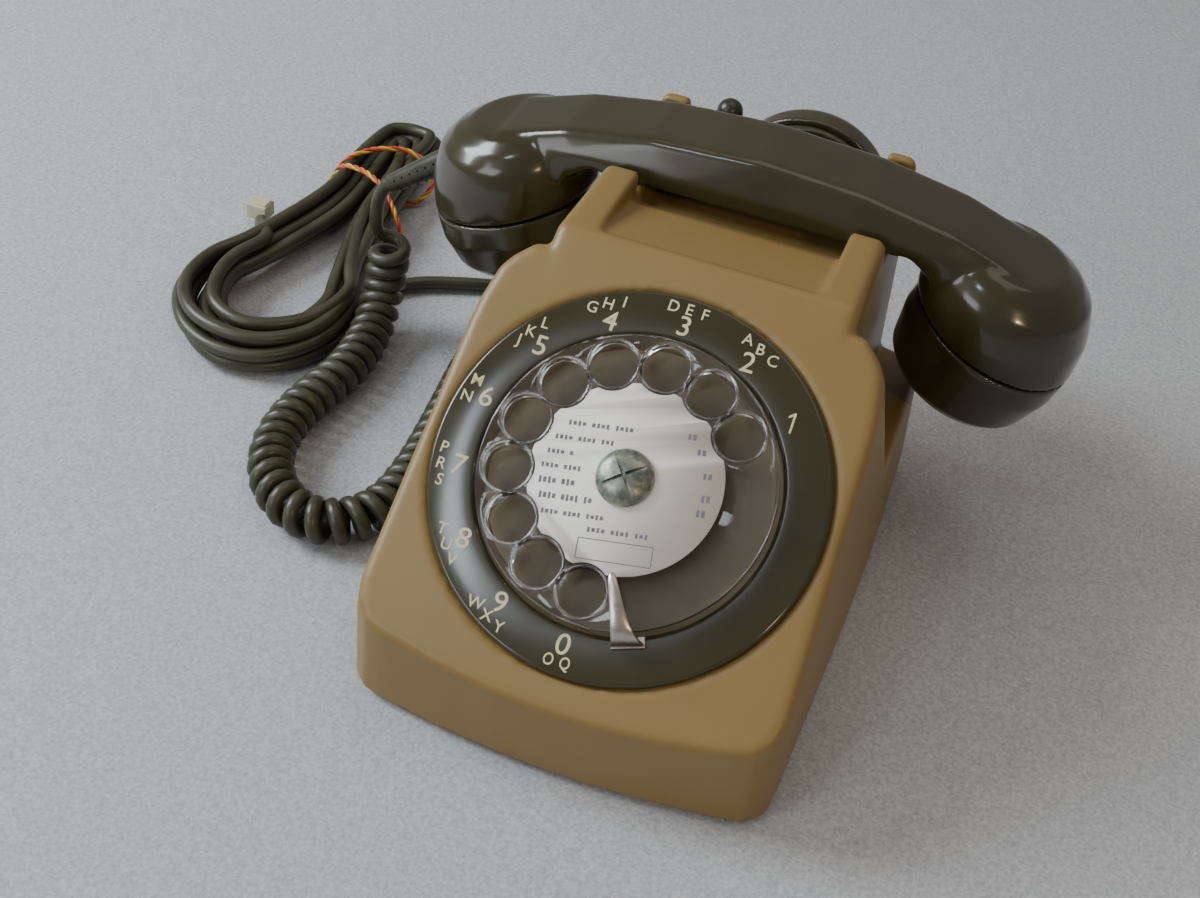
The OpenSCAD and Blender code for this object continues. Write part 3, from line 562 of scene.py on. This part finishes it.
hole_spots = [(hole_circle * math.cos(a), hole_circle * math.sin(a)) for a in hole_angles]
wheel = plate_with_holes("wheel_plate", .0420, hole_spots, .0068, .0026, .0056, .0005, .0034)
wheel = mesh_piece("wheel_plate", wheel, "dial_rotor", clear, True, dial_place)
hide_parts("finger_wheel")
rims = bmesh.new()
rim = rounded([(.0068, .0004, 1), (.0077, .0004, 1), (.0077, .0064, 1), (.0068, .0064, 1)], .0004)
for x, y in hole_spots:
    one = turned(rim, 56)
    holder = bpy.data.meshes.new("rim")
    one.to_mesh(holder)
    one.free()
    holder.transform(Matrix.Translation((x, y, 0)))
    rims.from_mesh(holder)
rims = mesh_piece("wheel_rims", rims, "dial_rotor", clear, True, dial_place)


# ---- Card ---------------------------------------------------------------------------
# White printed card under the centre screw, cut round the finger holes and slightly yellowed
# in patches. Its lines of print are plain grey marks, with an empty box below them.
paper, tree, shader = new_material("card_paper")
fibre = speckle(tree, 260, 5)
stain = speckle(tree, 40, 3)
shade_between(tree, stain.outputs["Fac"], shader.inputs["Base Color"], (0.74, 0.71, 0.66), (0.84, 0.82, 0.79))
vary(tree, fibre.outputs["Fac"], shader.inputs["Roughness"], 0.5, 0.7)
raise_by(tree, shader, fibre.outputs["Fac"], .00003)
rim_clearance = .0080
card = bmesh.new()
bmesh.ops.create_circle(card, cap_ends=True, segments=720, radius=.0273)
for v in card.verts:
    for x, y in hole_spots:
        gap = math.hypot(v.co.x - x, v.co.y - y)
        if gap < rim_clearance:
            # the edge follows the rim of a finger hole
            spread = math.atan2(v.co.y, v.co.x) - math.atan2(y, x)
            inside_rim = max(rim_clearance ** 2 - (hole_circle * math.sin(spread)) ** 2, 0)
            v.co = v.co.normalized() * (hole_circle * math.cos(spread) - math.sqrt(inside_rim))
card = mesh_piece("label_card", card, "dial_rotor", paper, False,
                  dial_place @ Matrix.Translation((0, 0, .0061)))
step = card.modifiers.new("thick", "SOLIDIFY")
step.thickness, step.offset = .0003, -1
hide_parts("card")

ink = mottled("grey_ink", (0.13, 0.13, 0.15), (0.19, 0.19, 0.21), 0.6, 0.7, 600, 2500, 0.00001)
print_turn = math.radians(10)


def printed(made, x, y, width, height):
    bmesh.ops.create_cube(made, size=1, matrix=Matrix.Translation((x, y, .00613))
                          @ Matrix.Diagonal((width, height, .00004, 1)))


marks = bmesh.new()
lines = [(-.0185, .0001, .0137, .0014), (-.0215, -.0046, .0093, .0014), (-.0230, -.0153, .0050, .0014),
         (-.0240, -.0112, .0009, .0014), (-.0240, -.0136, -.0033, .0019), (-.0232, -.0080, -.0076, .0019),
         (-.0218, -.0040, -.0120, .0014), (-.0083, .0090, -.0155, .0014)]
for left, right, y, height in lines:
    count = int((right - left) / .00125)
    step = (right - left) / count
    for i in range(count):
        if i % 5 != 4:
            printed(marks, left + (i + .5) * step, y, step * (.5 + .2 * ((i * 3) % 2)),
                    height * (1, .8, 1, .7)[i % 4])
for x, y, height in ((.0164, .0140, .0016), (.0196, .0100, .0016), (.0222, .0035, .0016),
                     (.0226, -.0028, .0020), (.0219, -.0070, .0020)):
    printed(marks, x - .0007, y, .0008, height)
    printed(marks, x + .0007, y, .0010, height)
for x, y, width, height in ((.0004, -.0180, .0208, .00025), (.0004, -.0237, .0208, .00025),
                            (-.0100, -.02085, .00025, .0057), (.0108, -.02085, .00025, .0057)):
    printed(marks, x, y, width, height)
marks = mesh_piece("card_print", marks, "dial_rotor", ink, False,
                   dial_place @ Matrix.Rotation(print_turn, 4, "Z"))


# ---- Centre screw -------------------------------------------------------------------
# Domed nickel-plated brass head with a crossed slot. The plating is dulled to a greenish grey.
dull, tree, shader = new_material("dull_nickel")
patina = speckle(tree, 320, 6, 0.7)
fine = speckle(tree, 2600, 3)
shader.inputs["Metallic"].default_value = 0.9
shade_between(tree, patina.outputs["Fac"], shader.inputs["Base Color"],
              (0.13, 0.17, 0.13), (0.36, 0.37, 0.32), 0.38, 0.62)
vary(tree, patina.outputs["Fac"], shader.inputs["Roughness"], 0.50, 0.30)
raise_by(tree, shader, fine.outputs["Fac"], .00006)
dome = [(0, .0064), (.0080, .0064), (.0082, .0068)]
dome += [(.0082 * math.cos(math.radians(a)), .0068 + .0038 * math.sin(math.radians(a)))
         for a in range(8, 90, 6)]
dome += [(0, .0106)]
screw = mesh_piece("screw_dome", turned(dome, 96), "dial_rotor", dull, True, dial_place)
slots = bmesh.new()
for turn in (38, -51):
    bmesh.ops.create_cube(slots, size=1, matrix=Matrix.Rotation(math.radians(turn), 4, "Z")
                          @ Matrix.Translation((0, 0, .0107)) @ Matrix.Diagonal((.0128, .00095, .0036, 1)))
data = bpy.data.meshes.new("screw_slots")
slots.to_mesh(data)
slots.free()
data.transform(dial_place)
cutter = bpy.data.objects.new("screw_slots", data)
scene.collection.objects.link(cutter)
step = screw.modifiers.new("slots", "BOOLEAN")
step.operation, step.object, step.solver = "DIFFERENCE", cutter, "EXACT"
step.use_self = True
finished = bpy.data.meshes.new_from_object(screw.evaluated_get(bpy.context.evaluated_depsgraph_get()))
screw.modifiers.clear()
screw.data = finished
bpy.data.objects.remove(cutter)
screw.data.set_sharp_from_angle(angle=math.radians(30))
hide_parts("centre_screw")


# ---- Finger stop --------------------------------------------------------------------
# A tapering strip of nickelled steel, folded up from under the ring and over the wheel.
bright = mottled("bright_nickel", (0.52, 0.47, 0.42), (0.62, 0.58, 0.53), 0.22, 0.34,
                 150, 2400, 0.00001, metal=1.0)
stop_path = [(.0455, .0016), (.0452, .0040), (.0446, .0062), (.0432, .0080), (.0412, .0090),
             (.0380, .0096), (.0345, .0100), (.0310, .0102), (.0285, .0101), (.0268, .0096)]
stop_sides = [(.0048, -.0046), (.0045, -.0042), (.0041, -.0034), (.0036, -.0026), (.0032, -.0020),
              (.0026, -.0015), (.0021, -.0012), (.0017, -.0010), (.0013, -.0008), (.0007, -.0003)]
strip = bmesh.new()
rows = []
for (r, h), (left, right) in zip(stop_path, stop_sides):
    # the strip leans to the left as it rises from its foot
    lean = (stop_path[0][0] - r) * math.tan(math.radians(10))
    rows.append([strip.verts.new((r, -(left + (right - left) * t) - lean, h - .0004 * (2 * t - 1) ** 2))
                 for t in (0, .25, .5, .75, 1)])
for a, b in zip(rows, rows[1:]):
    for i in range(4):
        strip.faces.new([a[i], a[i + 1], b[i + 1], b[i]])
bmesh.ops.create_cube(strip, size=1, matrix=Matrix.Translation((.0446, 0, .0019))
                      @ Matrix.Diagonal((.0026, .0088, .0008, 1)))
stop = mesh_piece("stop_strip", strip, "case", bright, True,
                  dial_place @ Matrix.Rotation(math.radians(-70), 4, "Z"), 60)
step = stop.modifiers.new("thick", "SOLIDIFY")
step.thickness, step.offset = .0008, 0
step = stop.modifiers.new("edges", "BEVEL")
step.width, step.segments = .0002, 2
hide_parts("finger_stop")


# ---- Handset ------------------------------------------------------------------------
# Compression-moulded glossy olive body in one piece: a slightly arched grip with a flat top band
# and a crease along each side, running into two round cups.
gloss, tree, shader = new_material("handset_gloss")
haze = speckle(tree, 18, 5)
scratches = speckle(tree, 700, 4)
shade_between(tree, haze.outputs["Fac"], shader.inputs["Base Color"],
              (0.028, 0.025, 0.009), (0.038, 0.034, 0.013))
vary(tree, haze.outputs["Fac"], shader.inputs["Roughness"], 0.17, 0.27)
raise_by(tree, shader, scratches.outputs["Fac"], .00001)
shader.inputs["Coat Weight"].default_value = 0.5
shader.inputs["Coat Roughness"].default_value = 0.10
handset = soft_copy(["handset_body", "handset_grip"], "handset_moulding", "handset", .0008, 24)
handset.data.materials.append(gloss)

# The caps screw on to the cups; they are the same plastic with rounded edges.
for node, name in (("mouth_cap", "mouth_cap_moulding"), ("ear_cap", "ear_cap_moulding")):
    cap = soft_copy([node], name, "handset", .0006, 12)
    cap.data.materials.append(gloss)

# A flexible sleeve with rows of small holes protects the cord where it leaves the cup.
sleeve_from, sleeve_to = Vector((-.100, .058, .0813)), Vector((-.1285, .058, .0596))
sleeve_way = (sleeve_to - sleeve_from).normalized()
sleeve_side = sleeve_way.cross(Vector((0, 1, 0))).normalized()
sleeve_place = Matrix((Vector((0, 1, 0)), sleeve_side, sleeve_way)).transposed().to_4x4()
sleeve_place.translation = sleeve_from
long = (sleeve_to - sleeve_from).length
sleeve = turned([(0, 0), (.0044, 0), (.0044, long * .3), (.0040, long * .6), (.0034, long * .9),
                 (.0031, long), (0, long)], 40)
sleeve = mesh_piece("handset_strain_relief", sleeve, "handset", sheath, True, sleeve_place)
pits = bmesh.new()
for row in (-0.62, 0.05, 0.72):
    for n in range(6):
        along = long * (.36 + .105 * n)
        r = .0044 - (.0013 * max(along / long - .3, 0) / .7)
        spot = sleeve_place @ Vector((r * math.sin(row - 1.9), -r * math.cos(row - 1.9), along))
        bmesh.ops.create_uvsphere(pits, u_segments=10, v_segments=6, radius=.00048,
                                  matrix=Matrix.Translation(spot))
pit_shadow = mottled("pit_shadow", (0.004, 0.004, 0.003), (0.009, 0.009, 0.006), 0.8, 0.9)
pits = mesh_piece("strain_relief_pits", pits, "handset", pit_shadow)
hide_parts("handset_sleeve")


# ---- Second earpiece ----------------------------------------------------------------
# A round listening capsule hung on the back of the case, in the handset's olive plastic, and
# the dark knob of its hanger.
for node, name in (("second_earpiece", "second_earpiece_shell"),
                   ("second_ear_cap", "second_ear_cap_moulding")):
    piece = soft_copy([node], name, "extra_earpiece", .0007, 10)
    piece.data.materials.append(gloss)
hanger = soft_copy(["hanger"], "hanger_moulding", "case", .0005, 4)
hanger.data.materials.append(mottled("knob_plastic", (0.020, 0.021, 0.012), (0.034, 0.034, 0.020),
                                     0.25, 0.35, 80, 1500, 0.00002))


# ---- Dial mechanism, switch, bell and circuit ----------------------------------------
# Inside the case, out of sight until a pose or a cut shows it: brass gears, steel stampings,
# phenolic mouldings and a brown paper-based board.
give_finish(mottled("machined_brass", (0.52, 0.36, 0.13), (0.66, 0.49, 0.22), 0.25, 0.38,
                    90, 1800, 0.00002, metal=1.0),
            "main_gear", "idler_pinion", "worm_wheel", "governor", "clapper", "pulse_contacts",
            "hook_contacts")
give_finish(mottled("zinced_steel", (0.42, 0.42, 0.40), (0.58, 0.58, 0.55), 0.30, 0.45,
                    120, 2000, 0.00002, metal=1.0),
            "dial_shaft", "idler_arbor", "governor_bracket", "mainspring", "dial_screws", "hook_bar",
            "hook_bracket", "hook_spring", "ringer_frame", "gong_screws", "ringer_magnet",
            "clapper_bracket", "case_screws", "board_spacers")
give_finish(mottled("bell_metal", (0.50, 0.44, 0.30), (0.64, 0.58, 0.42), 0.20, 0.32,
                    60, 1500, 0.00002, metal=1.0),
            "left_gong", "right_gong")
give_finish(mottled("dark_phenolic", (0.030, 0.025, 0.018), (0.060, 0.050, 0.035), 0.35, 0.5,
                    80, 1600, 0.00003),
            "dial_body", "pulse_cam", "left_plunger", "right_plunger", "terminal_strip",
            "speech_transformer")
give_finish(mottled("board_laminate", (0.24, 0.14, 0.06), (0.36, 0.22, 0.10), 0.4, 0.55,
                    150, 1800, 0.00003),
            "circuit_board")
give_finish(mottled("enamelled_wire", (0.30, 0.09, 0.04), (0.42, 0.14, 0.06), 0.3, 0.45,
                    500, 3000, 0.0001),
            "ringer_coils")
give_finish(mottled("pressed_can", (0.55, 0.55, 0.53), (0.68, 0.68, 0.66), 0.28, 0.4,
                    70, 1800, 0.00002, metal=1.0),
            "bell_capacitor", "transmitter_capsule", "receiver_capsule", "second_capsule")
